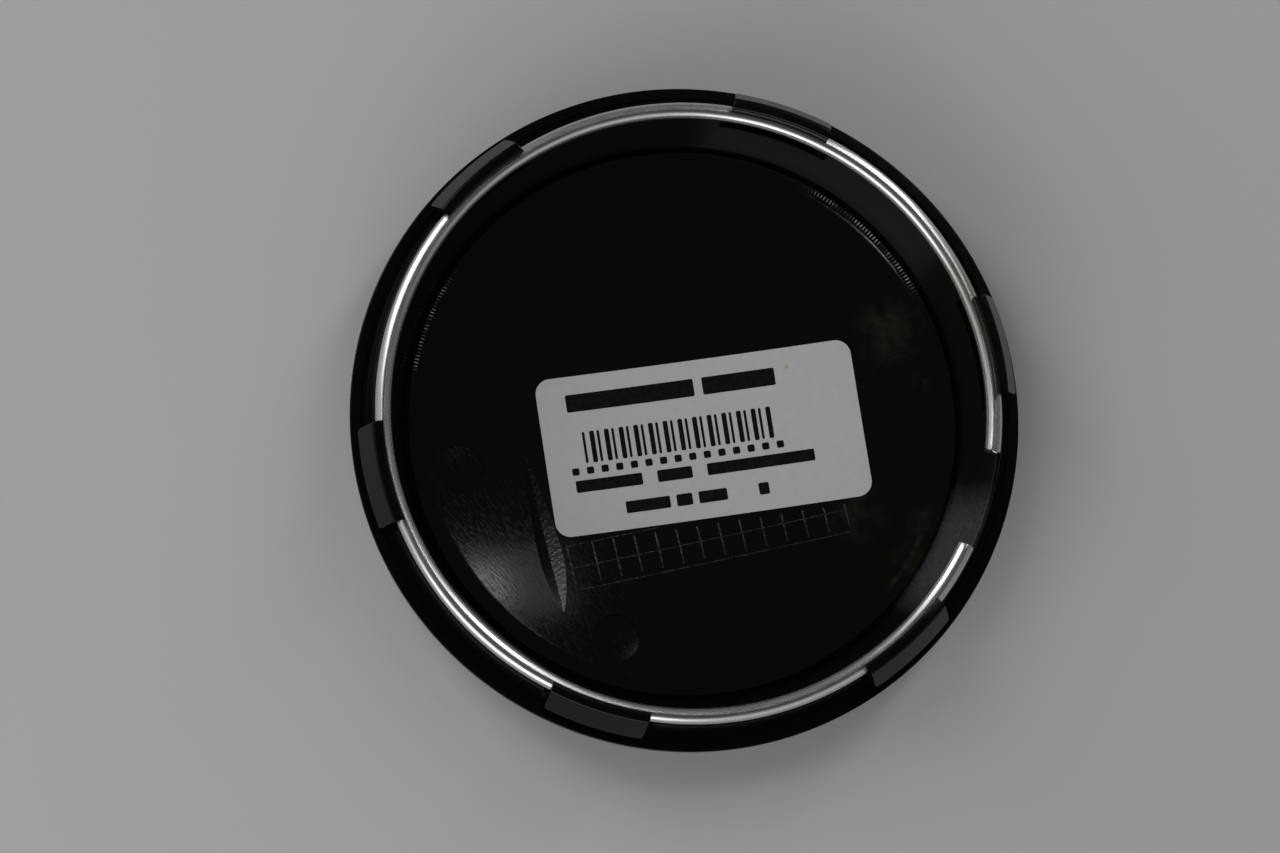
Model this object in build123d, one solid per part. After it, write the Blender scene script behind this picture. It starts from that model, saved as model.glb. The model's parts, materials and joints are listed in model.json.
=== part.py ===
from build123d import *
import os
from math import cos, radians, sin, sqrt

# Wheel centre cap, lying on its front with the snap arms up.
# Millimetres and degrees. Z runs along the axis, and z = 0 is the flat in the middle of the front.

# Flange and front
flange_diameter = 83.0
flange_rim = 0.8  # straight edge of the flange
rim_reach = 5.0  # rounded rim, from the flange edge in to the crown
front_flat_diameter = 44.0
shell = 2.2  # thickness of the crowned front wall

# Seat on the back of the flange, and the round spigot inside it
seat_width = 1.35
relief_width = 0.6
relief_depth = 0.2

# Dished floor and the wall around it
floor_depth = 6.0  # from the seat down to the middle of the floor
floor_dish = 300.0  # ball radius
wall_lean = 3.4  # the inner wall opens by this much towards its top
shoulder_width = 1.15  # falling edge of the floor
shoulder_drop = 0.22
shoulder_round = 4.0
foot_width = 0.25  # bottom of the groove between the shoulder and the wall
foot_depth = 0.8
foot_round = 0.15  # edge of the shoulder
skirt_height = 3.7  # wall between the arms, above the seat
skirt_lean = 0.8  # its outer face leans in by this much
skirt_land = 0.5  # flat top of the wall

# Split ring of round wire
wire_diameter = 2.0
wire_gap = 19.0  # degrees
wire_turn = 1.1  # degrees that the gap lies off the middle between two arms
wire_clearance = 0.05
wire_bite = 0.13  # depth of the seat that the ring has in the edge of the wall

# Snap arms
arm_count = 6
arm_width = 12.5
arm_slot = 0.7  # slot at each side of an arm
arm_sill = 0.5  # arms and slots start this far above the seat
lip_cover = 0.9  # the lip reaches this far in over the wire
lip_height = 1.5  # plastic above the wire groove
lip_round = 0.45
crest_width = 1.35  # from the lip to the top of the ramp
grip = 2.5  # room for the wheel's own lip, between the seat and the barb
barb_reach = 1.2  # the barb stands out of the spigot by this much
barb_undercut = 0.5  # the underside of the barb falls by this much towards the arm
barb_round = 0.2
corner_round = 0.6

# Marks of the mould on the floor
pin_diameter = 5.9
pin_depth = 0.15
pin_inset = 6.5  # from the edge of the floor
leaf_length = 21.6  # leaf-shaped groove
leaf_width = 3.3
leaf_depth = 0.5
leaf_offset = 20.15  # from the axis to its slim end
leaf_slant = 0.45  # its other end lies this much nearer
leaf_end = 1.5  # its slim end lies this far past the axis
leaf_belly = 0.67  # where it is widest, along its length

# Sticker
label_length = 40.0
label_width = 20.0
label_corner = 1.9
label_thickness = 0.12
label_glue = 0.02
label_x = 2.24
label_y = -2.4
label_turn = -4.1

# Heights and radii that follow from the sizes above
flange_r = flange_diameter / 2
crown_r = flange_r - rim_reach
front_flat_r = front_flat_diameter / 2
crown_ball = floor_dish + shell
ball_z = sqrt(crown_ball**2 - front_flat_r**2)
floor_z = ball_z - floor_dish
seat_z = floor_z + floor_depth
relief_z = seat_z - relief_depth
sill_z = seat_z + arm_sill
skirt_z = seat_z + skirt_height
relief_r = flange_r - seat_width
spigot_r = relief_r - relief_width
skirt_r = spigot_r - skirt_lean
wall_r = skirt_r - skirt_land
floor_r = wall_r - wall_lean

wire_r = wire_diameter / 2
groove_r = wire_r + wire_clearance
wire_stand = groove_r - wire_bite
ring_r = wall_r - wire_stand * cos(radians(45))
ring_z = skirt_z + wire_stand * sin(radians(45))

lip_r = ring_r + wire_r - lip_cover
crest_r = lip_r + crest_width
crest_z = ring_z + groove_r + lip_height
barb_r = spigot_r + barb_reach
barb_root_z = seat_z + grip
barb_tip_z = barb_root_z + barb_undercut
pin_circle_r = floor_r - pin_inset


def ball_height(radius, ball):
    """Height of a ball about the dish's centre, at a distance from the axis."""
    return ball_z - sqrt(ball**2 - radius**2)


def around(shape):
    """Copies of a shape made on the +X side, one for each arm."""
    return [Rot(0, 0, 360 * arm / arm_count) * shape for arm in range(arm_count)]


def beam(inner_r, outer_r, width, low_z, high_z):
    """Straight-sided block that runs outwards along +X."""
    middle = Pos((inner_r + outer_r) / 2, 0, (low_z + high_z) / 2)
    return middle * Box(outer_r - inner_r, width, high_z - low_z)


def turned(section):
    return revolve(section, Axis.Z, 360)


def vertex_at(section, point):
    """The corner of a half section that lies at a radius and height."""
    return section.vertices().sort_by_distance(point)[0]


def bowl():
    """The moulding turned about its axis, before the arms are cut free."""
    floor_edge_z = ball_height(floor_r, floor_dish)
    foot_z = floor_edge_z - foot_depth
    foot_r = floor_r - foot_depth * wall_lean / (skirt_z - floor_edge_z)
    shoulder_r = foot_r - foot_width
    edge_r = shoulder_r - shoulder_width
    edge = (edge_r, ball_height(edge_r, floor_dish))
    shoulder = (shoulder_r, edge[1] - shoulder_drop)
    with BuildSketch(Plane.XZ) as section:
        with BuildLine():
            Line((0, 0), (front_flat_r, 0))
            crown_middle_r = (front_flat_r + crown_r) / 2
            crown = ThreePointArc(
                (front_flat_r, 0),
                (crown_middle_r, ball_height(crown_middle_r, crown_ball)),
                (crown_r, ball_height(crown_r, crown_ball)),
            )
            rim = TangentArc(crown @ 1, (flange_r, seat_z - flange_rim), tangent=crown % 1)
            Polyline(
                rim @ 1,
                (flange_r, seat_z),
                (relief_r, seat_z),
                (relief_r, relief_z),
                (spigot_r, relief_z),
                (spigot_r, sill_z),
                (skirt_r, skirt_z),
                (wall_r, skirt_z),
                (foot_r, foot_z),
                (shoulder_r, foot_z),
                shoulder,
                edge,
            )
            ThreePointArc(edge, (edge_r / 2, ball_height(edge_r / 2, floor_dish)), (0, floor_z))
            Line((0, floor_z), (0, 0))
        make_face()
        fillet(vertex_at(section, edge), min(shoulder_round, 4 * shoulder_width))
        fillet(vertex_at(section, shoulder), foot_round)
    return turned(section.sketch)


def arms():
    """Sprung legs with a lip over the wire, a lead-in ramp and a barb."""
    with BuildSketch(Plane.XZ) as section:
        with BuildLine():
            Polyline(
                (wall_r, relief_z),
                (wall_r, ring_z),
                (lip_r, ring_z),
                (lip_r, crest_z),
                (crest_r, crest_z),
                (barb_r, barb_tip_z),
                (spigot_r, barb_root_z),
                (spigot_r, relief_z),
                close=True,
            )
        make_face()
        crest_round = min(lip_round, crest_width / 3)
        fillet(vertex_at(section, (lip_r, crest_z)), crest_round)
        fillet(vertex_at(section, (crest_r, crest_z)), crest_round)
        fillet(vertex_at(section, (barb_r, barb_tip_z)), barb_round)
    strip = Pos(flange_r / 2, 0) * Rectangle(flange_r, arm_width) & Circle(barb_r)
    plan = fillet(strip.vertices().group_by(Axis.X)[-1], corner_round)
    heads = extrude(Pos(0, 0, relief_z) * plan, crest_z - relief_z)
    ring = turned(section.sketch)
    return [ring & head for head in around(heads)]


def wire_groove():
    return Pos(0, 0, ring_z) * Torus(ring_r, groove_r)


def arm_windows():
    """Room for each arm and its two slots, from the sill up through the skirt."""
    return around(beam(floor_r, relief_r, arm_width + 2 * arm_slot, sill_z, crest_z))


def pin_marks():
    """Round ejector marks, square to the dished floor."""
    tilt = Plane(
        origin=(pin_circle_r, 0, ball_height(pin_circle_r, floor_dish)),
        z_dir=(-pin_circle_r, 0, ball_z - ball_height(pin_circle_r, floor_dish)),
    )
    return around(tilt * Cylinder(pin_diameter / 2, 2 * pin_depth))


def leaf_groove():
    """Slim V groove that widens towards one end."""
    slope = leaf_width / 2 / leaf_depth
    over = leaf_depth  # the cut stands this far above the floor
    stations = [(0, 0), (leaf_belly / 2, 0.45), (leaf_belly, 1), (1, 0)]
    sections = []
    for along, share in stations:
        x = leaf_slant * along - leaf_offset
        y = leaf_end - leaf_length * along
        floor = ball_height(sqrt(x**2 + y**2), floor_dish)
        depth = leaf_depth * share
        half = slope * (depth + over)
        tip = Plane(origin=(x, y, floor), x_dir=(1, 0, 0), z_dir=(0, -1, 0))
        sections.append(tip * Polygon((-half, over), (0, -depth), (half, over), align=None))
    return loft(sections)


def make_cap_body():
    body = bowl()
    body -= arm_windows()
    body += arms()
    body -= wire_groove()
    body -= pin_marks()
    body -= leaf_groove()
    return body


def make_retaining_ring():
    wire = Plane.XZ * Pos(ring_r, ring_z) * Circle(wire_r)
    ring = revolve(wire, Axis.Z, 360 - wire_gap)
    gap_middle = wire_turn - 180 / arm_count
    return Rot(0, 0, gap_middle + wire_gap / 2) * ring


def make_label():
    blank = RectangleRounded(label_length, label_width, label_corner)
    sheet = extrude(Pos(label_x, label_y) * Rot(0, 0, label_turn) * blank, seat_z)
    under = floor_dish - label_glue
    skin = Sphere(under) - Sphere(under - label_thickness)
    return sheet & Pos(0, 0, ball_z) * Rot(90, 0, 0) * skin


os.makedirs("parts", exist_ok=True)
export_step(make_cap_body(), "parts/cap_body.step")
export_step(make_retaining_ring(), "parts/retaining_ring.step")
export_step(make_label(), "parts/label.step")
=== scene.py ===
# %% [markdown]
# A wheel centre cap seen from behind: a black moulding with six hooked snap arms, a split ring of zinc
# plated wire that springs the arms outwards, and a paper sticker on the dished floor. The frame brings
# in the solids that hold the sizes. Everything below is placed by them, in metres.

# %% Load the frame
import json
from math import asin, atan2, cos, pi, radians, sin, sqrt, tan

import bpy
from mathutils import Matrix, Vector


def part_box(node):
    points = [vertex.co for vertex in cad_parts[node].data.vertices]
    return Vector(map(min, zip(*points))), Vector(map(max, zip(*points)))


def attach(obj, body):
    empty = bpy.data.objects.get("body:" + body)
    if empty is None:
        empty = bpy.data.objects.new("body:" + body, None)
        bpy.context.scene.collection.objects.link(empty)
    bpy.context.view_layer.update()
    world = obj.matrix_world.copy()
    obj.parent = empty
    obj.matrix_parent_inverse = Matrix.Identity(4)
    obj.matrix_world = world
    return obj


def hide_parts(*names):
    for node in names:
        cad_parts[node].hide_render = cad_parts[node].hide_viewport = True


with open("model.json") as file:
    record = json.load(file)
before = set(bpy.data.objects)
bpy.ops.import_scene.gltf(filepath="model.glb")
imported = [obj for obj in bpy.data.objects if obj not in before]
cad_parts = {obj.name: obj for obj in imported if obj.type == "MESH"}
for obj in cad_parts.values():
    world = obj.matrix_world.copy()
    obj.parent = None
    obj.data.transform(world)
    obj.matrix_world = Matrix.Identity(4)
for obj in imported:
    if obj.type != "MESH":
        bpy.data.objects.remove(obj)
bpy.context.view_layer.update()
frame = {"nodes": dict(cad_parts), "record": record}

print("frame holds", sorted(frame["nodes"]))

# %% [markdown]
# The main sizes are read from the frame: the seat from its mount, the flange and crest from the box of
# the moulding, the wire from the box of the ring. The ring's gap lies on the +X side, so its -X side is
# whole.

# %% Measure the frame
mm = 0.001

body_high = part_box("cap_body")[1]
ring_low, ring_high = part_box("retaining_ring")
mounts = {mount["name"]: mount for mount in frame["record"]["mounts"]}

seat_z = mounts["wheel_seat"]["pos_m"][2]
flange_r = body_high.x
crest_z = body_high.z
wire_r = (ring_high.z - ring_low.z) / 2
ring_z = (ring_high.z + ring_low.z) / 2
ring_r = -ring_low.x - wire_r

for name, size in {"flange": 2 * flange_r, "seat height": seat_z, "wire": 2 * wire_r}.items():
    print(name, round(size / mm, 3), "mm")

# %% [markdown]
# The floor of the cap is a shallow dish: part of a ball 600 mm across. The crown of the front follows
# the same ball, one wall thickness further out. One formula gives both, and later it seats the sticker
# and the ribs.

# %% The dish
front_flat_r = 22 * mm
dish_ball = 300 * mm
shell = 2.2 * mm
crown_ball = dish_ball + shell
ball_z = sqrt(crown_ball**2 - front_flat_r**2)


def ball_height(radius, ball=dish_ball):
    """Height of the dish at a distance from the axis."""
    return ball_z - sqrt(ball**2 - radius**2)


print("floor", round(ball_height(0) / mm, 3), "mm above the table")

# %% [markdown]
# A turned shape is quickest to draw as half a section. In Blender that is a single vertex, extruded from
# point to point, and then spun about the axis. Real mouldings have no knife edges, so each corner that
# shows is rounded by an arc, worked out from its radius.

# %% Draw outlines
merge_gap = 0.001 * mm
z_axis = (0, 0, 1)


def select_only(piece):
    """Makes one object the selected and active one."""
    bpy.ops.object.select_all(action="DESELECT")
    piece.select_set(True)
    bpy.context.view_layer.objects.active = piece


def rounded(corners, closed=False):
    """Points of an outline whose corners are given as (radius, height, size of the rounding)."""
    points = []
    last = len(corners) - 1
    for index, (x, z, size) in enumerate(corners):
        tip = Vector((x, z))
        if size == 0 or (not closed and index in (0, last)):
            points.append(tip)
            continue
        back = (Vector(corners[index - 1][:2]) - tip).normalized()
        ahead = (Vector(corners[(index + 1) % len(corners)][:2]) - tip).normalized()
        half = back.angle(ahead) / 2
        centre = tip + (back + ahead).normalized() * size / sin(half)
        start = tip + back * size / tan(half) - centre
        end = tip + ahead * size / tan(half) - centre
        steps = 10 if size > 0.5 * mm else 5
        points += [centre + start.slerp(end, step / steps) * size for step in range(steps + 1)]
    return points


def draw_section(name, points):
    """A chain of edges in the XZ plane, extruded vertex by vertex. It is left in edit mode."""
    bpy.ops.object.select_all(action="DESELECT")
    bpy.ops.mesh.primitive_plane_add(size=mm)
    piece = bpy.context.object
    piece.name = name
    bpy.ops.object.mode_set(mode="EDIT")
    bpy.ops.mesh.select_mode(type="VERT")
    bpy.ops.mesh.select_all(action="SELECT")
    bpy.ops.mesh.merge(type="CENTER")
    bpy.ops.transform.translate(value=(points[0].x, 0, points[0].y))
    for start, end in zip(points, points[1:]):
        step = end - start
        bpy.ops.mesh.extrude_region_move(TRANSFORM_OT_translate={"value": (step.x, 0, step.y)})
    return piece


def close_up(piece):
    """Merges doubled vertices, turns the faces outwards and leaves edit mode."""
    bpy.ops.mesh.select_all(action="SELECT")
    bpy.ops.mesh.remove_doubles(threshold=merge_gap)
    bpy.ops.mesh.normals_make_consistent(inside=False)
    bpy.ops.mesh.select_mode(type="EDGE")
    bpy.ops.mesh.select_all(action="DESELECT")
    bpy.ops.mesh.select_non_manifold()
    bpy.ops.object.mode_set(mode="OBJECT")
    open_edges = sum(edge.select for edge in piece.data.edges)
    print(piece.name, len(piece.data.polygons), "faces,", open_edges, "open edges")


# %% [markdown]
# The bowl of the cap: a flat in the middle of the front, a crown, a rounded rim, the seat that meets the
# wheel, a spigot, the skirt wall that carries the wire, a leaning inner wall and the dished floor. The
# floor rolls off into a level shoulder, which ends in a narrow groove at the foot of the wall. The
# groove looks like a black line. The floor has many rings, because a polished dish shows every error of
# its normals in what it mirrors.

# %% Section of the bowl
crown_r = flange_r - 5 * mm
rim_edge_z = seat_z - 0.8 * mm
relief_r = flange_r - 1.35 * mm
relief_z = seat_z - 0.2 * mm
spigot_r = relief_r - 0.6 * mm
sill_z = seat_z + 0.5 * mm
skirt_r = spigot_r - 0.8 * mm
skirt_z = seat_z + 3.7 * mm
wall_r = skirt_r - 0.5 * mm
floor_r = wall_r - 3.4 * mm
floor_edge_z = ball_height(floor_r)
foot_depth = 0.8 * mm
foot_width = 0.25 * mm
foot_z = floor_edge_z - foot_depth
foot_r = floor_r - foot_depth * (wall_r - floor_r) / (skirt_z - floor_edge_z)
shoulder_width = 1.15 * mm
shoulder_r = foot_r - foot_width
shoulder_start_r = shoulder_r - shoulder_width
shoulder_z = ball_height(shoulder_start_r)
shoulder_round = 18 * mm
shoulder_lead = 1.5 * mm
edge_round = 0.12 * mm
crown_rings = 8
rim_rings = 10
floor_rings = 40


def arc_from(start, heading, end, steps):
    """Points of the arc that leaves a point along a heading and ends at another point."""
    chord = end - start
    side = Vector((-heading.y, heading.x))
    centre = start + side * chord.length_squared / (2 * chord.dot(side))
    sweep = 2 * asin(chord.dot(side) / chord.length)
    turns = [Matrix.Rotation(sweep * step / steps, 2) for step in range(1, steps + 1)]
    return [centre + turn @ (start - centre) for turn in turns]


def ball_points(start_r, end_r, ball, steps):
    """Points along the dish or the crown, from one distance to another."""
    radii = [start_r + (end_r - start_r) * step / steps for step in range(steps + 1)]
    return [Vector((radius, ball_height(radius, ball))) for radius in radii]


front = [Vector((0, 0))] + ball_points(front_flat_r, crown_r, crown_ball, crown_rings)
crown_slope = asin(crown_r / crown_ball)
crown_heading = Vector((cos(crown_slope), sin(crown_slope)))
rim = arc_from(front[-1], crown_heading, Vector((flange_r, rim_edge_z)), rim_rings)
back = rounded([
    (flange_r, rim_edge_z, 0),
    (flange_r, seat_z, 1.5 * edge_round),
    (relief_r, seat_z, edge_round / 2),
    (relief_r, relief_z, 0),
    (spigot_r, relief_z, 0),
    (spigot_r, sill_z, 0),
    (skirt_r, skirt_z, edge_round),
    (wall_r, skirt_z, edge_round),
    (foot_r, foot_z, 0),
    (shoulder_r, foot_z, 0),
    (shoulder_r, shoulder_z, edge_round),
    (shoulder_start_r, ball_height(shoulder_start_r), shoulder_round),
    (shoulder_start_r - shoulder_lead, ball_height(shoulder_start_r - shoulder_lead), 0),
])
roll_start = back[-2]
floor = ball_points(roll_start.x, 0, dish_ball, floor_rings)
moulding = draw_section("moulding", front + rim + back[1:-2] + floor)
print("the floor starts to roll off", round(roll_start.x / mm, 2), "mm from the axis")

# %% [markdown]
# Spin turns the section about the axis. A count that six divides gives every arm the same mesh, and 240
# steps keep the outline round even close up.

# %% Spin the bowl
round_steps = 240
bpy.ops.mesh.select_all(action="SELECT")
bpy.ops.mesh.spin(steps=round_steps, angle=2 * pi, center=(0, 0, 0), axis=z_axis)
close_up(moulding)

# %% [markdown]
# The snap arms stand in windows of the skirt. An arm and its window could each be made six times, but
# one of each is enough: it is modelled on the +X side, copied round the axis and combined with the bowl
# by a boolean. These helpers do the steps that repeat.

# %% Tools for the arms
arm_count = 6
sector_steps = 18
sector = 2 * pi * sector_steps / round_steps


def turn_mesh(piece, angle):
    """Turns an object about the axis and puts the turn into its mesh."""
    piece.rotation_euler.z = angle
    select_only(piece)
    bpy.ops.object.transform_apply(location=False, rotation=True, scale=False)


def trim(point, normal):
    """Cuts off what lies past a plane, and closes the cut with a face."""
    bpy.ops.mesh.select_all(action="SELECT")
    bpy.ops.mesh.bisect(
        plane_co=point, plane_no=normal, use_fill=True, clear_outer=True, threshold=merge_gap / 10
    )


def sector_block(name, corners, width):
    """A block with a drawn section, round the axis, between straight sides. Left in edit mode."""
    points = rounded(corners, closed=True)
    piece = draw_section(name, points + points[:1])
    bpy.ops.mesh.select_all(action="SELECT")
    bpy.ops.mesh.remove_doubles(threshold=merge_gap)
    bpy.ops.mesh.edge_face_add()
    bpy.ops.object.mode_set(mode="OBJECT")
    turn_mesh(piece, sector / 2)
    bpy.ops.object.mode_set(mode="EDIT")
    bpy.ops.mesh.select_all(action="SELECT")
    bpy.ops.mesh.spin(steps=sector_steps, angle=sector, center=(0, 0, 0), axis=z_axis)
    for side in (-1, 1):
        trim((0, side * width / 2, 0), (0, side, 0))
    return piece


def copies_around(piece):
    """Adds a copy for each of the other arms and joins them into one mesh."""
    copies = []
    for arm in range(1, arm_count):
        select_only(piece)
        bpy.ops.object.duplicate(linked=False)
        copy = bpy.context.object
        turn_mesh(copy, 2 * pi * arm / arm_count)
        copies.append(copy)
    select_only(piece)
    for copy in copies:
        copy.select_set(True)
    bpy.ops.object.join()
    print(piece.name, "joined, with", len(piece.data.polygons), "faces")
    return piece


def combine(piece, tool, operation):
    """Runs a boolean with another object, applies it and removes that object."""
    modifier = piece.modifiers.new("combine", "BOOLEAN")
    modifier.operation = operation
    modifier.solver = "MANIFOLD"
    modifier.object = tool
    select_only(piece)
    bpy.ops.object.modifier_apply(modifier=modifier.name)
    bpy.data.objects.remove(tool)
    print(piece.name, operation.lower(), len(piece.data.polygons), "faces")


# %% [markdown]
# An arm can only spring if it is free at both sides. A block as wide as the arm and its two slots is cut
# from the skirt, from just above the seat upwards.

# %% Cut the windows
arm_width = 12.5 * mm
arm_slot = 0.7 * mm
bpy.ops.object.select_all(action="DESELECT")
bpy.ops.mesh.primitive_cube_add(size=1, location=((floor_r + relief_r) / 2, 0, (sill_z + crest_z) / 2))
window = bpy.context.object
window.name = "window"
window.scale = (relief_r - floor_r, arm_width + 2 * arm_slot, crest_z - sill_z)
bpy.ops.object.transform_apply(location=True, rotation=False, scale=True)
combine(moulding, copies_around(window), "DIFFERENCE")

# %% [markdown]
# Each arm is a sprung leg with a hooked head: a lip that reaches in over the wire, a ramp that guides
# the cap into the wheel, and a barb that snaps in behind. Its section is drawn like the bowl's, spun
# through a few of the same steps and trimmed to straight sides. Its root widens a little below the sill,
# so that the boolean has no faces in line.

# %% Model one arm
lip_r = ring_r + wire_r - 0.9 * mm
ridge_r = lip_r + 1.35 * mm
barb_r = spigot_r + 1.2 * mm
barb_root_z = seat_z + 2.5 * mm
barb_tip_z = barb_root_z + 0.5 * mm
lip_round = 0.45 * mm
root = 0.3 * mm

arm = sector_block("snap_arms", [
    (wall_r + root, sill_z - root, 0),
    (wall_r, sill_z, 0),
    (wall_r, ring_z, 0),
    (lip_r, ring_z, 0),
    (lip_r, crest_z, lip_round),
    (ridge_r, crest_z, lip_round),
    (barb_r, barb_tip_z, 0.2 * mm),
    (spigot_r, barb_root_z, edge_round),
    (spigot_r, sill_z, 0),
    (spigot_r - root, sill_z - root, 0),
], arm_width)
print("arm from", round(lip_r / mm, 2), "to", round(barb_r / mm, 2), "mm off the axis")

# %% [markdown]
# Seen from above, the outer corners of the barb are round. Four bisects a side cut them, each a step
# further round the corner. A small bevel then breaks every sharp edge, but not at the root, where the
# arm runs into the wall.

# %% Round the arm's corners and edges
corner_round = 0.6 * mm
corner_y = arm_width / 2 - corner_round
corner_x = sqrt((barb_r - corner_round) ** 2 - corner_y**2)
corner_start = atan2(corner_y, corner_x)
for side in (-1, 1):
    for step in range(1, 5):
        angle = corner_start + (pi / 2 - corner_start) * step / 5
        outwards = Vector((cos(angle), side * sin(angle), 0))
        trim(Vector((corner_x, side * corner_y, 0)) + outwards * corner_round, outwards)
close_up(arm)


def bevel_sharp_edges(piece, lowest_z, size, sharpness):
    """Bevels the sharp edges that lie above a height."""
    select_only(piece)
    bpy.ops.object.mode_set(mode="EDIT")
    bpy.ops.mesh.select_mode(type="EDGE")
    bpy.ops.mesh.select_all(action="DESELECT")
    bpy.ops.mesh.edges_select_sharp(sharpness=radians(sharpness))
    bpy.ops.object.mode_set(mode="OBJECT")
    for edge in piece.data.edges:
        ends = [piece.data.vertices[index].co.z for index in edge.vertices]
        edge.select = edge.select and min(ends) > lowest_z
    bpy.ops.object.mode_set(mode="EDIT")
    bpy.ops.mesh.bevel(offset=size, segments=2, affect="EDGES")
    close_up(piece)


bevel_sharp_edges(arm, sill_z - merge_gap, edge_round, 40)
combine(moulding, copies_around(arm), "UNION")

# %% [markdown]
# The wire sits in a round groove, cut behind the lips of the arms and into the edge of the skirt. A
# torus a little fatter than the wire cuts it.

# %% Cut the groove for the wire
wire_clearance = 0.05 * mm
bpy.ops.object.select_all(action="DESELECT")
bpy.ops.mesh.primitive_torus_add(
    location=(0, 0, ring_z),
    major_radius=ring_r,
    minor_radius=wire_r + wire_clearance,
    major_segments=round_steps,
    minor_segments=36,
)
combine(moulding, bpy.context.object, "DIFFERENCE")

# %% [markdown]
# Pins push the cap out of its mould, and their ends leave six shallow round marks on the floor. One
# cylinder, square to the dish, is copied round the axis and cut out.

# %% Marks of the ejector pins
pin_circle_r = floor_r - 6.5 * mm
pin_r = 2.95 * mm
pin_depth = 0.15 * mm
bpy.ops.object.select_all(action="DESELECT")
bpy.ops.mesh.primitive_cylinder_add(
    vertices=64,
    radius=pin_r,
    depth=2 * pin_depth,
    location=(pin_circle_r, 0, ball_height(pin_circle_r)),
    rotation=(0, -asin(pin_circle_r / dish_ball), 0),
)
pin = bpy.context.object
pin.name = "pin"
bpy.ops.object.transform_apply(location=True, rotation=True, scale=True)
combine(moulding, copies_around(pin), "DIFFERENCE")

# %% [markdown]
# A slim leaf-shaped groove lies beside the sticker, with two flat walls that meet in a line. A
# four-sided cylinder on its edge has that V underneath. It is sliced along its length and its slices are
# scaled to the leaf's outline. The wall on the right is the wider one.

# %% Leaf-shaped groove
leaf_start_x = -20.15 * mm
leaf_start_y = 1.5 * mm
leaf_slant = 0.45 * mm
leaf_length = 21.6 * mm
leaf_width = 3.3 * mm
leaf_depth = 0.5 * mm
leaf_belly = 0.67
leaf_right_wall = 1.25
leaf_tip_share = 0.004
leaf_slices = 40


def leaf_share(along):
    """Width of the leaf at a place along it, as a share of its greatest width."""
    if along < leaf_belly:
        return sin(pi / 2 * along / leaf_belly) ** 1.35
    return cos(pi / 2 * (along - leaf_belly) / (1 - leaf_belly)) ** 0.9


bpy.ops.object.select_all(action="DESELECT")
bpy.ops.mesh.primitive_cylinder_add(
    vertices=4,
    radius=1,
    depth=leaf_length,
    location=(0, leaf_start_y - leaf_length / 2, 0),
    rotation=(pi / 2, 0, 0),
)
leaf = bpy.context.object
leaf.name = "leaf"
bpy.ops.object.transform_apply(location=True, rotation=True, scale=True)
bpy.ops.object.mode_set(mode="EDIT")
for cut in range(1, leaf_slices):
    bpy.ops.mesh.select_all(action="SELECT")
    cut_y = leaf_start_y - leaf_length * cut / leaf_slices
    bpy.ops.mesh.bisect(plane_co=(0, cut_y, 0), plane_no=(0, 1, 0), threshold=merge_gap)
bpy.ops.object.mode_set(mode="OBJECT")
for vertex in leaf.data.vertices:
    along = (leaf_start_y - vertex.co.y) / leaf_length
    share = max(leaf_share(min(max(along, 0.0), 1.0)), leaf_tip_share)
    leaf_x = leaf_start_x + leaf_slant * along
    wall = leaf_right_wall if vertex.co.x > 0 else 1
    vertex.co.x = leaf_x + vertex.co.x * share * wall * leaf_width / 2
    floor_here = ball_height(sqrt(leaf_x**2 + vertex.co.y**2))
    vertex.co.z = floor_here + vertex.co.z * share * leaf_depth
combine(moulding, leaf, "DIFFERENCE")

# %% [markdown]
# Smooth shading goes everywhere except over sharp edges. The leaf's walls are so shallow that an angle
# alone would blur them into the floor, so the edges of the leaf are marked as sharp first. Smooth
# shading also bends the look of a flat face beside a small bevel. Weighted normals let the large face
# win, so that it mirrors as a flat one does.

# %% Shade the moulding
select_only(moulding)
bpy.ops.object.mode_set(mode="EDIT")
bpy.ops.mesh.select_mode(type="EDGE")
bpy.ops.mesh.select_all(action="DESELECT")
bpy.ops.mesh.edges_select_sharp(sharpness=radians(6))
bpy.ops.object.mode_set(mode="OBJECT")
leaf_middle = Vector((leaf_start_x, leaf_start_y - leaf_length / 2))


def by_the_leaf(point):
    """Whether a place on the floor lies in a box around the leaf."""
    off = point - leaf_middle
    return abs(off.x) < leaf_width and abs(off.y) < leaf_length * 0.52


for face in moulding.data.polygons:
    face.select = False
for edge in moulding.data.edges:
    ends = [moulding.data.vertices[index].co for index in edge.vertices]
    on_floor = max(end.z for end in ends) < floor_edge_z
    edge.select = edge.select and on_floor and by_the_leaf((ends[0].xy + ends[1].xy) / 2)
bpy.ops.object.mode_set(mode="EDIT")
bpy.ops.mesh.mark_sharp()
bpy.ops.object.mode_set(mode="OBJECT")
print("leaf has", sum(edge.use_edge_sharp for edge in moulding.data.edges), "sharp edges")
bpy.ops.object.shade_smooth_by_angle(angle=radians(32))
flat_look = moulding.modifiers.new("flat_look", "WEIGHTED_NORMAL")
flat_look.keep_sharp = True
bpy.ops.object.modifier_apply(modifier=flat_look.name)
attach(moulding, "root")
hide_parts("cap_body")
print("moulding", len(moulding.data.vertices), "vertices")

# %% [markdown]
# The ring is one length of drawn wire, wound to a circle and cut off with shears. A circle, spun about
# the axis, leaves the gap open. Its lower end is sheared square. The upper end starts a little too long,
# because it is cut to a point in the next step.

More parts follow.
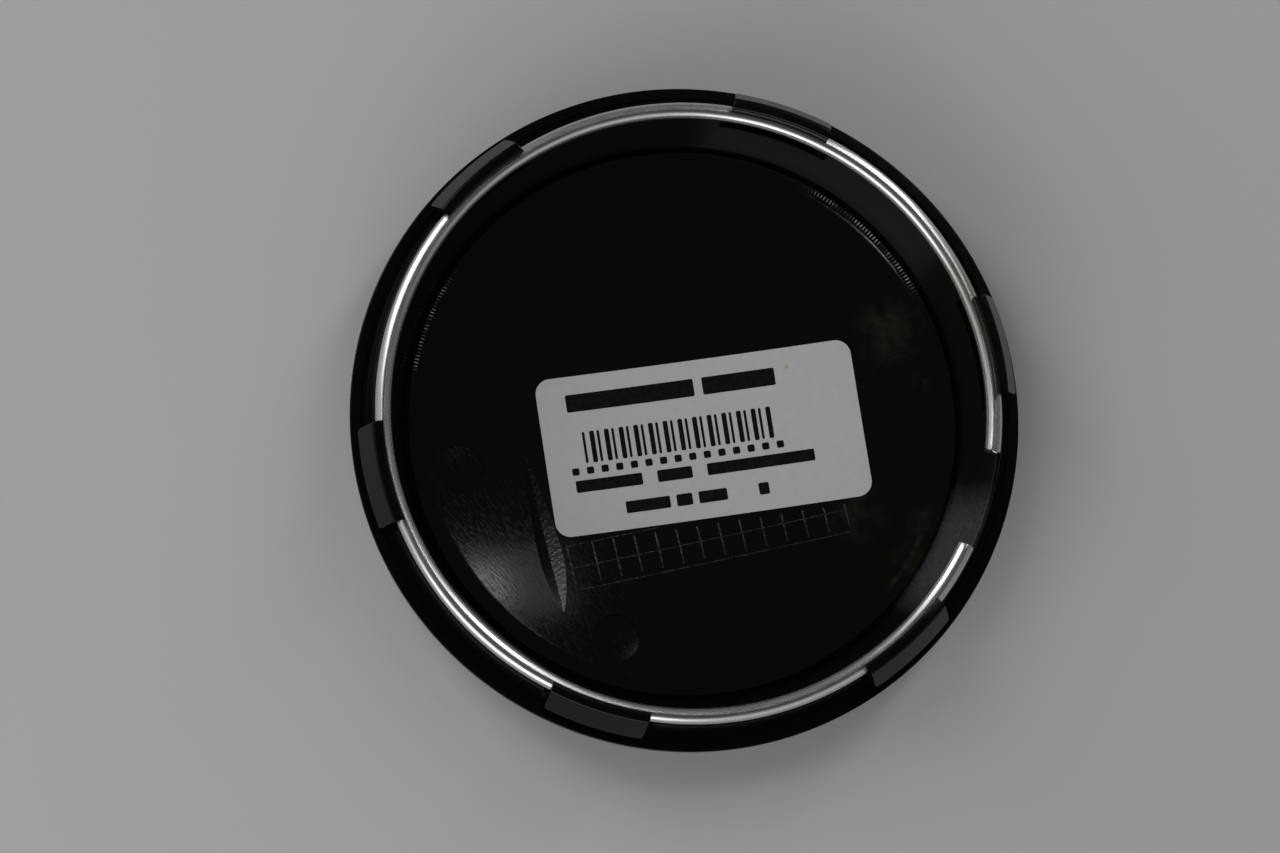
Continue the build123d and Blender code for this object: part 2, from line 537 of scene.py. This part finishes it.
# %% Split ring of wire
gap_middle = radians(-28.9)
gap_angle = radians(19)
point_length = 0.62 * mm
point_offset = 0.35 * mm
square_end = gap_middle - gap_angle / 2
pointed_end = gap_middle + gap_angle / 2
spare = 1.5 * point_length / ring_r
wire_steps = 300
bpy.ops.object.select_all(action="DESELECT")
bpy.ops.mesh.primitive_circle_add(
    vertices=40, radius=wire_r, fill_type="NGON", location=(ring_r, 0, ring_z), rotation=(pi / 2, 0, 0)
)
wire = bpy.context.object
wire.name = "wire_ring"
bpy.ops.object.transform_apply(location=True, rotation=True, scale=True)
turn_mesh(wire, square_end)
bpy.ops.object.mode_set(mode="EDIT")
bpy.ops.mesh.select_all(action="SELECT")
bpy.ops.mesh.spin(steps=wire_steps, angle=2 * pi - gap_angle + spare, center=(0, 0, 0), axis=z_axis)
bpy.ops.object.mode_set(mode="OBJECT")
print("wire", round(2 * pi * ring_r * (1 - gap_angle / (2 * pi)) / mm, 1), "mm long")

# %% [markdown]
# Pliers cut the upper end from two sides, so it runs out in a blunt point. Two bisects do the same. They
# work on the faces near that end only, because a plane through the end also meets the far side of the
# ring. A bevel then blunts the edges of both ends.

# %% Ends of the wire
out = Vector((cos(pointed_end), sin(pointed_end), 0))
along = Vector((sin(pointed_end), -cos(pointed_end), 0))
end_middle = out * ring_r + Vector((0, 0, ring_z))
end_bevel = 0.15 * mm
tip = end_middle + out * point_offset + along * point_length


def cut_wire_end(edge):
    """Cuts the wire by the plane that holds the tip, the upright and a point on the edge of the end."""
    run = tip - edge
    normal = Vector((0, 0, 1)).cross(run)
    if normal.dot(along) < 0:
        normal = -normal
    bpy.ops.object.mode_set(mode="EDIT")
    bpy.ops.mesh.select_mode(type="FACE")
    bpy.ops.mesh.select_all(action="DESELECT")
    bpy.ops.object.mode_set(mode="OBJECT")
    for face in wire.data.polygons:
        face.select = (face.center - end_middle).length < 4 * wire_r
    bpy.ops.object.mode_set(mode="EDIT")
    bpy.ops.mesh.bisect(
        plane_co=tip, plane_no=normal, use_fill=True, clear_outer=True, threshold=merge_gap / 10
    )
    bpy.ops.object.mode_set(mode="OBJECT")


cut_wire_end(end_middle - out * wire_r)
cut_wire_end(end_middle + out * wire_r)
bpy.ops.object.mode_set(mode="EDIT")
bpy.ops.mesh.select_mode(type="EDGE")
bpy.ops.mesh.select_all(action="DESELECT")
bpy.ops.mesh.edges_select_sharp(sharpness=radians(35))
bpy.ops.mesh.bevel(offset=end_bevel, segments=3, affect="EDGES")
close_up(wire)
bpy.ops.object.shade_smooth_by_angle(angle=radians(25))
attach(wire, "root")
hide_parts("retaining_ring")

# %% [markdown]
# The sticker is coated paper with round corners. It starts as a plane at its cut size. A vertex bevel
# rounds the corners, bisects slice it into small faces so that it can follow the dish, and Solidify
# gives it the thickness of paper.

# %% Sticker
label_length = 40 * mm
label_width = 20 * mm
label_corner = 1.9 * mm
label_middle = Vector((2.24 * mm, -2.4 * mm, 0))
label_turn = radians(-4.1)
label_glue = 0.02 * mm
paper = 0.12 * mm
slice_size = 2 * mm


def slice_up(length, width, size):
    """Cuts the flat sheet in edit mode into squares."""
    for extent, normal in ((length, Vector((1, 0, 0))), (width, Vector((0, 1, 0)))):
        count = max(int(extent / size), 1)
        for cut in range(1, count):
            bpy.ops.mesh.select_all(action="SELECT")
            place = normal * (extent * cut / count - extent / 2)
            bpy.ops.mesh.bisect(plane_co=place, plane_no=normal, threshold=merge_gap / 10)


def lay_on_floor(piece, lift):
    """Drops a flat piece on the dished floor, at a height above it."""
    for vertex in piece.data.vertices:
        vertex.co.z += ball_height(vertex.co.xy.length) + lift


def flat_sheet(name, length, width, corner):
    """A rectangle in the middle of the world with round corners, sliced into squares."""
    bpy.ops.object.select_all(action="DESELECT")
    bpy.ops.mesh.primitive_plane_add(size=1)
    piece = bpy.context.object
    piece.name = name
    piece.scale = (length, width, 1)
    bpy.ops.object.transform_apply(location=False, rotation=False, scale=True)
    bpy.ops.object.mode_set(mode="EDIT")
    bpy.ops.mesh.select_all(action="SELECT")
    bpy.ops.mesh.bevel(offset=corner, segments=8, affect="VERTICES")
    slice_up(length, width, slice_size)
    bpy.ops.object.mode_set(mode="OBJECT")
    return piece


def thicken(piece, thickness):
    """Gives a sheet its thickness, upwards."""
    modifier = piece.modifiers.new("thickness", "SOLIDIFY")
    modifier.thickness = thickness
    modifier.offset = 1
    select_only(piece)
    bpy.ops.object.modifier_apply(modifier=modifier.name)


def place_on_label(piece):
    """Moves a piece from the middle of the world to the sticker's place and turn."""
    piece.rotation_euler.z = label_turn
    piece.location = label_middle
    select_only(piece)
    bpy.ops.object.transform_apply(location=True, rotation=True, scale=False)


label = flat_sheet("sticker", label_length, label_width, label_corner)
place_on_label(label)
lay_on_floor(label, label_glue)
thicken(label, paper)
bpy.ops.object.shade_smooth_by_angle(angle=radians(30))
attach(label, "root")
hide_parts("label")
print("sticker", len(label.data.polygons), "faces")

# %% [markdown]
# The sticker is printed in black. Its print is plain shapes here: a thick heading bar, a block of even
# stripes and two lines of bars. Each is a thin film of ink, cut, placed and draped in the same way as
# the sticker.

# %% Print on the sticker
ink = 0.012 * mm
print_lift = label_glue + paper


def print_bar(left, right, middle, height):
    """One bar of ink, given in millimetres from the middle of the sticker."""
    bar = flat_sheet("bar", (right - left) * mm, height * mm, min(0.2, height / 4) * mm)
    bar.location = ((left + right) / 2 * mm, middle * mm, 0)
    select_only(bar)
    bpy.ops.object.transform_apply(location=True, rotation=False, scale=False)
    return bar


def print_line(left, lengths, gap, middle, height):
    """A line of bars with a gap between them."""
    bars = []
    for length in lengths:
        bars.append(print_bar(left, left + length, middle, height))
        left += length + gap
    return bars


stripe_count = 26
stripe_pitch = 24.2 / stripe_count
bars = print_line(-16.4, [16.2, 9.2], 1.1, 6.6, 2.2)
for stripe in range(stripe_count):
    stripe_left = -15 + stripe * stripe_pitch
    bars.append(print_bar(stripe_left, stripe_left + stripe_pitch * (0.35 + 0.3 * (stripe % 2)), 0.9, 4.0))
bars += print_line(-16.9, [0.9] * 15, 0.95, -2.0, 0.9)
bars += print_line(-16.7, [8.4, 4.4, 13.6], 1.9, -3.9, 1.5)
bars += print_line(-10.9, [5.6, 2.0, 3.6], 0.8, -7.25, 1.5)
bars += print_line(5.9, [1.3], 0, -7.25, 1.5)
select_only(bars[0])
for bar in bars:
    bar.select_set(True)
bpy.ops.object.join()
label_print = bpy.context.object
label_print.name = "sticker_print"
place_on_label(label_print)
lay_on_floor(label_print, print_lift)
thicken(label_print, ink)
bpy.ops.object.shade_smooth_by_angle(angle=radians(30))
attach(label_print, "root")
print("print", len(bars), "bars")

# %% [markdown]
# Under the sticker the floor carries a moulded table of fine raised ribs. Such ribs are engraved in the
# mould with a pointed cutter, so they are narrow and low. Only the part that shows is modelled, up to
# the sticker's edge.

# %% Raised ribs of the moulded table
rib_width = 0.2 * mm
rib_height = 0.1 * mm
rib_sink = 0.05 * mm
row_height = 2.82 * mm
table_left = -17.52 * mm
table_bottom = -17.75 * mm
wide_column = 3.22 * mm
column = 2.654 * mm
rib_clear = 0.25 * mm
rib_top_share = 0.4
rib_slices = 6


def label_edge_y(x):
    """Height on the page of the sticker's lower edge, at a place across."""
    return label_middle.y + (x - label_middle.x) * tan(label_turn) - label_width / 2 / cos(label_turn)


def rib(start, end):
    """A low ridge with a narrow top between two points of the floor."""
    run = end - start
    bpy.ops.object.select_all(action="DESELECT")
    bpy.ops.mesh.primitive_cube_add(size=1, location=((start.x + end.x) / 2, (start.y + end.y) / 2, 0))
    piece = bpy.context.object
    piece.scale = (run.length, rib_width, rib_height + rib_sink)
    piece.rotation_euler.z = atan2(run.y, run.x)
    bpy.ops.object.mode_set(mode="EDIT")
    bpy.ops.mesh.select_all(action="DESELECT")
    bpy.ops.object.mode_set(mode="OBJECT")
    for face in piece.data.polygons:
        face.select = face.normal.z > 0.5
    bpy.ops.object.mode_set(mode="EDIT")
    bpy.ops.transform.resize(value=(1, rib_top_share, 1))
    for cut in range(1, rib_slices):
        bpy.ops.mesh.select_all(action="SELECT")
        place = start.lerp(end, cut / rib_slices).to_3d()
        bpy.ops.mesh.bisect(plane_co=place, plane_no=run.to_3d(), threshold=merge_gap)
    bpy.ops.object.mode_set(mode="OBJECT")
    bpy.ops.object.transform_apply(location=True, rotation=True, scale=True)
    return piece


column_xs = [table_left] + [table_left + wide_column + column * step for step in range(13)]
table_right = column_xs[-1]
ribs = [rib(Vector((x, table_bottom)), Vector((x, label_edge_y(x) - rib_clear))) for x in column_xs]
for row in range(3):
    row_y = table_bottom + row * row_height
    edge_x = label_middle.x + (row_y + rib_clear - label_edge_y(label_middle.x)) / tan(label_turn)
    ribs.append(rib(Vector((table_left, row_y)), Vector((min(table_right, edge_x), row_y))))
select_only(ribs[0])
for piece in ribs:
    piece.select_set(True)
bpy.ops.object.join()
table_ribs = bpy.context.object
table_ribs.name = "floor_ribs"
lay_on_floor(table_ribs, (rib_height - rib_sink) / 2)
bpy.ops.object.shade_smooth_by_angle(angle=radians(30))
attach(table_ribs, "root")
print("ribs", len(ribs), "from", round(table_left / mm, 1), "to", round(table_right / mm, 1), "mm")

# %% [markdown]
# Materials come next. Each is a Principled shader whose colour, roughness and bump vary with the place
# on the object. Places are Object coordinates, which are metres here: a noise scale of 1000 gives grains
# of about a millimetre.

# %% Tools for materials


def new_material(name, sockets):
    """A material with a Principled shader, whose constant sockets are set directly."""
    material = bpy.data.materials.new(name)
    material.use_nodes = True
    shader = material.node_tree.nodes["Principled BSDF"]
    for socket, value in sockets.items():
        shader.inputs[socket].default_value = value
    return material


def add_node(material, kind, inputs, **settings):
    """Adds a node. An input is a number, a colour or another node's output."""
    made = material.node_tree.nodes.new(kind)
    for setting, value in settings.items():
        setattr(made, setting, value)
    for socket, value in inputs.items():
        if isinstance(value, bpy.types.NodeSocket):
            material.node_tree.links.new(value, made.inputs[socket])
        else:
            made.inputs[socket].default_value = value
    return made


def plug(material, socket, output):
    """Links an output to the material's shader."""
    material.node_tree.links.new(output, material.node_tree.nodes["Principled BSDF"].inputs[socket])


def tell(material):
    """Prints what a finished material is made of."""
    print(material.name, "has", len(material.node_tree.nodes), "nodes")


def object_coordinates(material):
    return add_node(material, "ShaderNodeTexCoord", {}).outputs["Object"]


def noise(material, vector, scale, detail=2.0):
    return add_node(
        material, "ShaderNodeTexNoise", {"Vector": vector, "Scale": scale, "Detail": detail}
    ).outputs["Fac"]


def spread(material, value, low, high, out_low, out_high):
    """Maps a range of values to another, clamped."""
    return add_node(
        material,
        "ShaderNodeMapRange",
        {"Value": value, "From Min": low, "From Max": high, "To Min": out_low, "To Max": out_high},
    ).outputs["Result"]


def reckon(material, operation, first, second):
    return add_node(material, "ShaderNodeMath", {0: first, 1: second}, operation=operation).outputs["Value"]


def tint(material, share, *colours):
    """A colour that goes evenly through those given, as a share goes from none to one."""
    ramp = add_node(material, "ShaderNodeValToRGB", {"Fac": share})
    stops = ramp.color_ramp.elements
    stops[1].position = 1 / (len(colours) - 1)
    for step in range(2, len(colours)):
        stops.new(step / (len(colours) - 1))
    for stop, colour in zip(stops, colours):
        stop.color = (*colour, 1)
    return ramp.outputs["Color"]


def bump(material, height, distance, normal=None):
    inputs = {"Height": height, "Distance": distance}
    if normal is not None:
        inputs["Normal"] = normal
    return add_node(material, "ShaderNodeBump", inputs).outputs["Normal"]


# %% [markdown]
# Many marks on a turned part lie at an angle about its axis and a distance from it, so those two are
# worked out from the place. A band is a mask that is one around a middle value and fades out at both
# sides.

# %% Tools for marks


def vector_step(material, operation, first, second=(0, 0, 0)):
    return add_node(material, "ShaderNodeVectorMath", {0: first, 1: second}, operation=operation)


def round_place(material, where):
    """Angle about the axis in radians, and distance from the axis in metres."""
    flat = vector_step(material, "MULTIPLY", where, (1, 1, 0)).outputs["Vector"]
    parts = add_node(material, "ShaderNodeSeparateXYZ", {"Vector": flat})
    angle = reckon(material, "ARCTAN2", parts.outputs["Y"], parts.outputs["X"])
    return angle, vector_step(material, "LENGTH", flat).outputs["Value"]


def band(material, value, middle, half, fade):
    """One within half of the middle, and nothing past the fade."""
    away = reckon(material, "ABSOLUTE", reckon(material, "SUBTRACT", value, middle), 0.0)
    return spread(material, away, half, half + fade, 1.0, 0.0)


def spot(material, where, x, y, reach):
    """A soft round spot on the floor, in millimetres."""
    middle = Vector((x * mm, y * mm, 0))
    middle.z = ball_height(middle.length)
    away = vector_step(material, "DISTANCE", where, middle).outputs["Value"]
    return spread(material, away, reach * mm, 0.0, 0.0, 1.0)


# %% [markdown]
# The back of the moulding is black plastic as it leaves the tool: smooth, with a very fine grain. Beside
# the gap of the ring the wall is painted grey in streaks, and made rougher: painted light where a lamp
# falls on the wall.

# %% Black plastic of the back
black = (0.0017, 0.0017, 0.0018)
painted_lit_grey = (0.045, 0.045, 0.048)
black_back = new_material("black_moulded", {"Roughness": 0.2, "Specular IOR Level": 0.16})
where = object_coordinates(black_back)
angle, distance = round_place(black_back, where)
on_wall = band(black_back, distance, (floor_r + wall_r) / 2, 1.7 * mm, 0.6 * mm)
by_the_gap = band(black_back, angle, radians(-40), radians(6), radians(9))
streaks = spread(black_back, noise(black_back, where, 1800, 4), 0.3, 0.7, 0.35, 1.0)
# Painted light: a lit patch on the wall beside the ring's gap, painted grey in streaks.
painted_light_streaks = reckon(black_back, "MULTIPLY", reckon(black_back, "MULTIPLY", on_wall, by_the_gap), streaks)
plug(black_back, "Base Color", tint(black_back, painted_light_streaks, black, painted_lit_grey))
satin = spread(black_back, noise(black_back, where, 1200, 4), 0.3, 0.7, 0.16, 0.24)
plug(black_back, "Roughness", reckon(black_back, "ADD", satin, reckon(black_back, "MULTIPLY", painted_light_streaks, 0.2)))
plug(black_back, "Normal", bump(black_back, noise(black_back, where, 4500), 0.0015 * mm))
tell(black_back)

# %% [markdown]
# The floor of the mould was polished, so the floor of the cap is nearly a mirror. Glue left faint yellow
# stains around the sticker, and a yellow line where the floor starts to fall to its shoulder.

# %% Black plastic of the floor
black_floor = new_material("black_floor", {"Roughness": 0.12})
where = object_coordinates(black_floor)
angle, distance = round_place(black_floor, where)
stain = reckon(
    black_floor,
    "MULTIPLY",
    band(black_floor, angle, radians(-44), radians(6), radians(5)),
    band(black_floor, distance, roll_start.x + 0.7 * mm, 0.15 * mm, 0.25 * mm),
)
for x, y, reach in ((28, 6, 5), (19, -15.5, 4.5), (30, -1.4, 2), (26.5, -18.5, 2.5), (23.5, -22.5, 2.5)):
    stain = reckon(black_floor, "MAXIMUM", stain, spot(black_floor, where, x, y, reach))
patchy = spread(black_floor, noise(black_floor, where, 500, 5), 0.4, 0.7, 0.0, 1.0)
stain = reckon(black_floor, "MULTIPLY", stain, patchy)
tell(black_floor)

# %% [markdown]
# Polishing and handling left fine slanting scratches, which only show where the floor mirrors a light.
# Stretched noise gives them, as roughness and as a very low bump.

# %% Scratches of the floor
slanted = add_node(
    black_floor,
    "ShaderNodeMapping",
    {"Vector": where, "Rotation": (0, 0, radians(-62)), "Scale": (1 / 900, 1 / 4500, 1)},
    vector_type="TEXTURE",
).outputs["Vector"]
scratches = noise(black_floor, slanted, 1.0, 3)
polish = spread(black_floor, scratches, 0.48, 0.72, 0.03, 0.09)
scratched = bump(black_floor, scratches, 0.0008 * mm)
tell(black_floor)

# %% [markdown]
# The cutter that finished the mould left a row of teeth on the shoulder, in two places. A sine of the
# angle about the axis makes them, as a bump. Their crests are painted pale: a painted glint of the lamps on
# the teeth.

# %% Teeth on the shoulder
teeth_count = 480
teeth_zone = reckon(
    black_floor,
    "MAXIMUM",
    band(black_floor, angle, radians(33), radians(13), radians(6)),
    band(black_floor, angle, radians(147), radians(9), radians(5)),
)
on_shoulder = band(black_floor, distance, shoulder_r - 0.3 * mm, 0.2 * mm, 0.2 * mm)
toothed = reckon(black_floor, "MULTIPLY", teeth_zone, on_shoulder)
teeth = reckon(black_floor, "SINE", reckon(black_floor, "MULTIPLY", angle, float(teeth_count)), 0.0)
# Painted glint: the crests of the teeth are painted pale.
painted_glint = reckon(black_floor, "MULTIPLY", spread(black_floor, teeth, 0.1, 0.8, 0.0, 1.0), toothed)
painted_glint = reckon(black_floor, "MULTIPLY", painted_glint, spread(black_floor, patchy, 0.0, 0.6, 0.5, 1.0))
# One mask carries both the painted glint of the teeth and the real glue stains.
glint_and_stain = reckon(black_floor, "MAXIMUM", painted_glint, reckon(black_floor, "MULTIPLY", stain, 0.5))
plug(black_floor, "Base Color", tint(black_floor, glint_and_stain, black, (0.02, 0.018, 0.008), (0.42, 0.42, 0.4)))
cut_marks = bump(black_floor, reckon(black_floor, "MULTIPLY", teeth, toothed), 0.006 * mm, scratched)
dull = reckon(black_floor, "MULTIPLY", toothed, 0.05)
plug(black_floor, "Roughness", reckon(black_floor, "ADD", polish, dull))
plug(black_floor, "Normal", bump(black_floor, noise(black_floor, where, 4000), 0.0003 * mm, cut_marks))
tell(black_floor)

# %% [markdown]
# The table's ribs and one wall of the leaf were sunk into the mould by sparks, and not polished. They
# have a coarse grain that scatters the light, and shine more towards the leaf's broad end.

# %% Rough black of the ribs and the leaf
black_rough = new_material("black_eroded", {"Base Color": (*black, 1), "Roughness": 0.4})
where = object_coordinates(black_rough)
grains = noise(black_rough, where, 2200, 4)
plug(black_rough, "Roughness", spread(black_rough, grains, 0.3, 0.7, 0.24, 0.34))
plug(black_rough, "Normal", bump(black_rough, grains, 0.09 * mm))
across = add_node(black_rough, "ShaderNodeSeparateXYZ", {"Vector": where}).outputs["Y"]
plug(black_rough, "Specular IOR Level", spread(black_rough, across, -7 * mm, -13 * mm, 0.2, 0.8))
table_ribs.data.materials.append(black_rough)
tell(black_rough)

# %% [markdown]
# The front is what shows on the car, so it is glossy, with the faint unevenness of lacquer.

# %% Gloss black of the front
black_gloss = new_material("black_gloss", {"Base Color": (0.004, 0.004, 0.004, 1), "Roughness": 0.08})
where = object_coordinates(black_gloss)
plug(black_gloss, "Roughness", spread(black_gloss, noise(black_gloss, where, 400), 0.3, 0.7, 0.06, 0.12))
tell(black_gloss)

# %% [markdown]
# Each face of the moulding gets one of the four finishes by its place and the way it faces. The booleans
# leave an empty slot behind, so the slots are cleared first.

# %% Give the moulding its finishes
finishes = (black_back, black_floor, black_gloss, black_rough)
back_finish, floor_finish, front_finish, leaf_finish = range(len(finishes))
leaf_skin = 0.01 * mm
moulding.data.materials.clear()
for material in finishes:
    moulding.data.materials.append(material)
for face in moulding.data.polygons:
    away = face.center.xy.length
    faces_down = face.normal.z < -0.5
    on_rim = face.normal.z < 0.2 and away > floor_r + shell
    if face.center.z < seat_z and (faces_down or on_rim):
        face.material_index = front_finish
    elif face.center.z < floor_edge_z and away < shoulder_r:
        face.material_index = floor_finish
        if by_the_leaf(face.center.xy) and face.center.z < ball_height(away) - leaf_skin:
            face.material_index = leaf_finish if face.normal.x < -0.1 else back_finish
for index, material in enumerate(finishes):
    count = sum(face.material_index == index for face in moulding.data.polygons)
    print(material.name, "covers", count, "faces")

# %% [markdown]
# The wire was drawn through a die, which leaves fine lines along it, and then zinc plated. The plating
# has yellowed on the side of the gap. Stretched noise makes the lines: it changes fast across the wire
# and slowly along it.

# %% Zinc plated wire
zinc = new_material("zinc_wire", {"Metallic": 1.0, "Roughness": 0.22})
where = object_coordinates(zinc)
angle, distance = round_place(zinc, where)
height = add_node(zinc, "ShaderNodeSeparateXYZ", {"Vector": where}).outputs["Z"]
slow_angle = reckon(zinc, "MULTIPLY", angle, 0.003)
drawn = add_node(zinc, "ShaderNodeCombineXYZ", {"X": slow_angle, "Y": distance, "Z": height})
lines = noise(zinc, drawn.outputs["Vector"], 5000, 3)
yellowed = reckon(
    zinc,
    "MULTIPLY",
    band(zinc, angle, radians(6), radians(8), radians(8)),
    spread(zinc, noise(zinc, where, 350, 4), 0.35, 0.65, 0.2, 1.0),
)
plug(zinc, "Base Color", tint(zinc, yellowed, (0.6, 0.61, 0.6), (0.53, 0.51, 0.42)))
plug(zinc, "Roughness", spread(zinc, lines, 0.3, 0.7, 0.22, 0.3))
plug(zinc, "Normal", bump(zinc, lines, 0.0015 * mm))
wire.data.materials.append(zinc)
tell(zinc)

# %% [markdown]
# The sticker is coated paper, with a faint cloud of fibres under the coat and one small yellow fleck.
# The ink is a thin black film, a little uneven from the printing head.

# %% Paper and ink
paper_white = new_material("coated_paper", {"Roughness": 0.5})
where = object_coordinates(paper_white)
fibres = spread(paper_white, noise(paper_white, where, 900, 5), 0.3, 0.7, 0.0, 0.5)
fleck = spread(paper_white, spot(paper_white, where, 14.5, 4.3, 0.6), 0.3, 0.6, 0.0, 1.0)
cloud = reckon(paper_white, "MAXIMUM", fibres, fleck)
paper_tones = (0.5, 0.5, 0.5), (0.47, 0.47, 0.47), (0.4, 0.36, 0.2)
plug(paper_white, "Base Color", tint(paper_white, cloud, *paper_tones))
plug(paper_white, "Roughness", spread(paper_white, noise(paper_white, where, 2000), 0.3, 0.7, 0.42, 0.55))
label.data.materials.append(paper_white)
tell(paper_white)
ink_black = new_material("label_ink", {"Roughness": 0.5, "Specular IOR Level": 0.05})
where = object_coordinates(ink_black)
uneven = spread(ink_black, noise(ink_black, where, 2500, 4), 0.35, 0.7, 0.0, 1.0)
plug(ink_black, "Base Color", tint(ink_black, uneven, (0.004, 0.004, 0.004), (0.009, 0.009, 0.01)))
plug(ink_black, "Roughness", spread(ink_black, uneven, 0.0, 1.0, 0.4, 0.6))
label_print.data.materials.append(ink_black)
tell(ink_black)

# %% [markdown]
# The cap lies on its front on a plain pale floor, which is stage and not part of the object.

# %% Floor
floor_gap = 0.02 * mm
bpy.ops.object.select_all(action="DESELECT")
bpy.ops.mesh.primitive_plane_add(size=4, location=(0, 0, -floor_gap))
stage_floor = bpy.context.object
stage_floor.name = "studio_floor"
floor_paint = new_material("floor_paint", {"Base Color": (0.5, 0.5, 0.51, 1), "Roughness": 0.9})
stage_floor.data.materials.append(floor_paint)
print("floor", round(floor_gap / mm, 2), "mm below the cap")

# %% [markdown]
# The camera looks into the back of the cap, eleven degrees off the axis. Its lens follows from the scale
# of the picture and its distance, so that the near arms look as much larger than the far ones as they
# should.

# %% Camera
image_width = 1280
sensor = 36.0
view_tilt = radians(11.16)
view_azimuth = radians(226.67)
view_roll = radians(11.95)
view_distance = 532 * mm
pixels_per_mm = 8.103
aim_offset = Vector((46.4, 9.9)) / pixels_per_mm * mm

backwards = Vector((sin(view_tilt) * cos(view_azimuth), sin(view_tilt) * sin(view_azimuth), cos(view_tilt)))
page_right = Vector((cos(-view_roll), sin(-view_roll), 0))
upwards = backwards.cross(page_right).normalized()
rightwards = upwards.cross(backwards)
flange_middle = Vector((0, 0, seat_z - 0.4 * mm))
aim = flange_middle - rightwards * aim_offset.x - upwards * aim_offset.y

bpy.ops.object.camera_add()
camera = bpy.context.object
camera.matrix_world = Matrix.Translation(aim + backwards * view_distance) @ Matrix(
    (rightwards, upwards, backwards)
).transposed().to_4x4()
camera.data.sensor_width = sensor
camera.data.lens = sensor * pixels_per_mm * view_distance / mm / image_width
camera.data.clip_start = 0.01
bpy.context.scene.camera = camera
print("lens", round(camera.data.lens, 1), "mm")

# %% [markdown]
# Two tall strip lights stand behind the cap, left and right, and a broad soft one stands below the
# camera. The wire mirrors the strips as bright dashes and the broad light as a soft line.

# %% Strip lights


def strip_light(name, azimuth, low, high, width, radiance, distance=0.7):
    """An upright strip that faces the cap. It spans from low to high, in degrees off the axis."""
    middle = radians((low + high) / 2)
    turn = radians(azimuth)
    outwards = Vector((sin(middle) * cos(turn), sin(middle) * sin(turn), cos(middle)))
    bpy.ops.object.select_all(action="DESELECT")
    bpy.ops.object.light_add(type="AREA", location=outwards * distance)
    lamp = bpy.context.object
    lamp.name = name
    lamp.rotation_euler = outwards.to_track_quat("Z", "Y").to_euler()
    lamp.data.shape = "RECTANGLE"
    lamp.data.size = 2 * distance * tan(radians(width / 2))
    lamp.data.size_y = 2 * distance * tan(radians((high - low) / 2))
    lamp.data.energy = radiance * pi * lamp.data.size * lamp.data.size_y
    print(name, round(lamp.data.size, 2), "by", round(lamp.data.size_y, 2), "m")


strip_light("strip_right", 39, 25, 84, 8, 4.5)
strip_light("strip_left", 127, 25, 84, 22, 2.6)
strip_light("broad_front", 227, 48, 80, 60, 1.8, 0.45)

# %% [markdown]
# A small bright lamp with a dim one on two of its sides hangs over the cap, near the middle of the ball
# that the dish is a part of. A dish mirrors a lamp there as one wide patch, so their sizes and places
# decide where the lit patch on the floor ends. They lie side by side, and each lights its own part of it.

# %% Small lamps
lamp_height = 337.5 * mm


def small_lamp(name, x, y, length, width, radiance):
    """A lamp that faces down on the cap, in millimetres."""
    bpy.ops.object.select_all(action="DESELECT")
    bpy.ops.object.light_add(type="AREA", location=(x * mm, y * mm, lamp_height))
    lamp = bpy.context.object
    lamp.name = name
    lamp.data.shape = "RECTANGLE"
    lamp.data.size = length * mm
    lamp.data.size_y = width * mm
    lamp.data.energy = radiance * pi * lamp.data.size * lamp.data.size_y
    print(name, "at", x, "and", y, "mm")


small_lamp("small_core", 70.9, 59.9, 6, 3.4, 4.2)
small_lamp("small_left", 65.3, 59.6, 5.2, 6, 0.7)
small_lamp("small_rear", 70.9, 57.4, 6, 1.6, 0.9)

# %% [markdown]
# A pale tent closes the sides, and is brighter on the camera's side. It is open at the top, where the
# camera looks in, so flat black faces mirror the dark opening and stay black. The tent is the world: its
# strength depends on how steeply a ray goes up.

# %% Tent
world = bpy.data.worlds.new("tent")
bpy.context.scene.world = world
world.use_nodes = True
background = world.node_tree.nodes["Background"]
direction = world.node_tree.nodes.new("ShaderNodeTexCoord").outputs["Generated"]
split = world.node_tree.nodes.new("ShaderNodeSeparateXYZ")
world.node_tree.links.new(direction, split.inputs[0])
tent = world.node_tree.nodes.new("ShaderNodeMapRange")
tent.interpolation_type = "SMOOTHSTEP"
world.node_tree.links.new(split.outputs["Z"], tent.inputs["Value"])
for socket, value in {"From Min": 0.92, "From Max": 0.57, "To Min": 0.05}.items():
    tent.inputs[socket].default_value = value
nearness = world.node_tree.nodes.new("ShaderNodeVectorMath")
nearness.operation = "DOT_PRODUCT"
nearness.inputs[1].default_value = (cos(view_azimuth), sin(view_azimuth), 0)
world.node_tree.links.new(direction, nearness.inputs[0])
side = world.node_tree.nodes.new("ShaderNodeMapRange")
side.interpolation_type = "SMOOTHSTEP"
for socket, value in {"From Min": -0.6, "From Max": 0.6, "To Min": 0.15, "To Max": 0.55}.items():
    side.inputs[socket].default_value = value
world.node_tree.links.new(nearness.outputs["Value"], side.inputs["Value"])
world.node_tree.links.new(side.outputs["Result"], tent.inputs["To Max"])
world.node_tree.links.new(tent.outputs["Result"], background.inputs["Strength"])
background.inputs["Color"].default_value = (1, 1, 1, 1)
print("tent made of", len(world.node_tree.nodes), "nodes")

# %% [markdown]
# The view transform shows colours as they are written.

# %% Finish
bpy.context.scene.view_settings.view_transform = "Standard"
